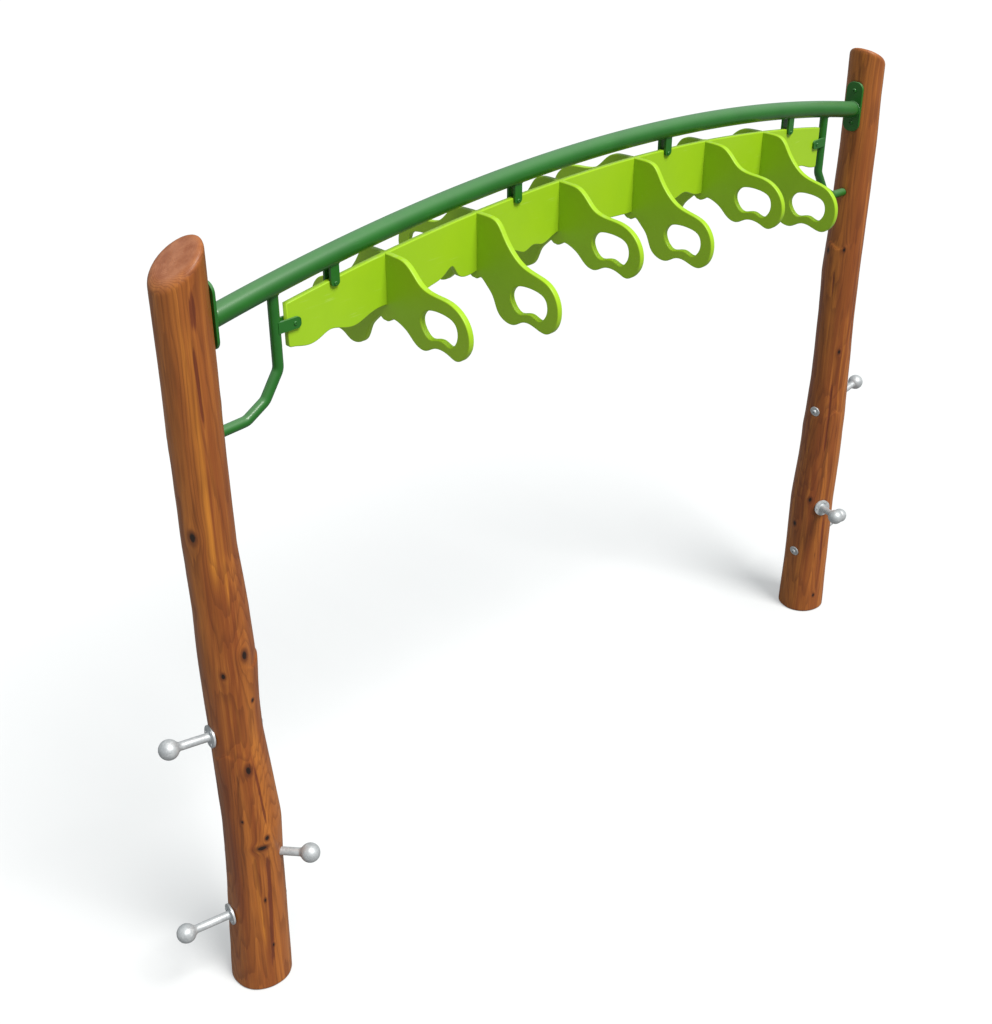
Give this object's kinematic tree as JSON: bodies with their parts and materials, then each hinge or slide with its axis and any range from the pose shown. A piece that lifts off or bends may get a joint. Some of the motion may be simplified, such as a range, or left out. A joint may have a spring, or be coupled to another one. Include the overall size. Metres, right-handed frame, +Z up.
{
  "type": "monkey bars",
  "caption": "Arched overhead ladder between two round timber posts, with paired hand grips on a hanging board and climbing pegs on the posts.",
  "frame": {"origin": "on the ground, midway between the two posts", "axes": "+X along the row from the left post to the right post, +Y across the row away from the front, +Z up"},
  "size_m": [3.6287, 0.6849, 2.4995],
  "materials": {
    "log_wood": "oiled round log with the grain, sapwood streaks and knots showing",
    "lime_board": "coloured plastic sheet, satin, routed edges",
    "green_steel": "powder-coated green, semi-gloss",
    "galvanised_steel": "hot-dip galvanised, dull"
  },
  "bodies": {
    "root": {"beam_tube": "green_steel", "fork_bolts": "green_steel", "fork_nuts": "galvanised_steel", "grip_board_1": "lime_board", "grip_board_2": "lime_board", "grip_board_3": "lime_board", "grip_board_4": "lime_board", "grip_board_5": "lime_board", "grip_board_6": "lime_board", "grip_screws": "galvanised_steel", "hanger_1_back": "green_steel", "hanger_1_front": "green_steel", "hanger_2_back": "green_steel", "hanger_2_front": "green_steel", "hanger_3_back": "green_steel", "hanger_3_front": "green_steel", "hanger_4_back": "green_steel", "hanger_4_front": "green_steel", "hanger_bolts": "green_steel", "hanger_nuts": "galvanised_steel", "left_brace_stud": "galvanised_steel", "left_brace_tube": "green_steel", "left_end_plate": "green_steel", "left_fork_back": "green_steel", "left_fork_front": "green_steel", "left_lower_peg_ball": "galvanised_steel", "left_lower_peg_flange": "galvanised_steel", "left_lower_peg_stem": "galvanised_steel", "left_middle_peg_ball": "galvanised_steel", "left_middle_peg_stem": "galvanised_steel", "left_peg_bolts": "galvanised_steel", "left_peg_screws": "galvanised_steel", "left_peg_washers": "galvanised_steel", "left_plate_screws": "green_steel", "left_post": "log_wood", "left_upper_peg_ball": "galvanised_steel", "left_upper_peg_flange": "galvanised_steel", "left_upper_peg_stem": "galvanised_steel", "right_brace_stud": "galvanised_steel", "right_brace_tube": "green_steel", "right_end_plate": "green_steel", "right_fork_back": "green_steel", "right_fork_front": "green_steel", "right_lower_peg_ball": "galvanised_steel", "right_lower_peg_flange": "galvanised_steel", "right_lower_peg_stem": "galvanised_steel", "right_middle_peg_ball": "galvanised_steel", "right_middle_peg_flange": "galvanised_steel", "right_middle_peg_stem": "galvanised_steel", "right_peg_bolts": "galvanised_steel", "right_peg_screws": "galvanised_steel", "right_peg_washers": "galvanised_steel", "right_plate_screws": "green_steel", "right_post": "log_wood", "right_upper_peg_ball": "galvanised_steel", "right_upper_peg_flange": "galvanised_steel", "right_upper_peg_stem": "galvanised_steel", "spine_board": "lime_board"}
  },
  "joints": []
}
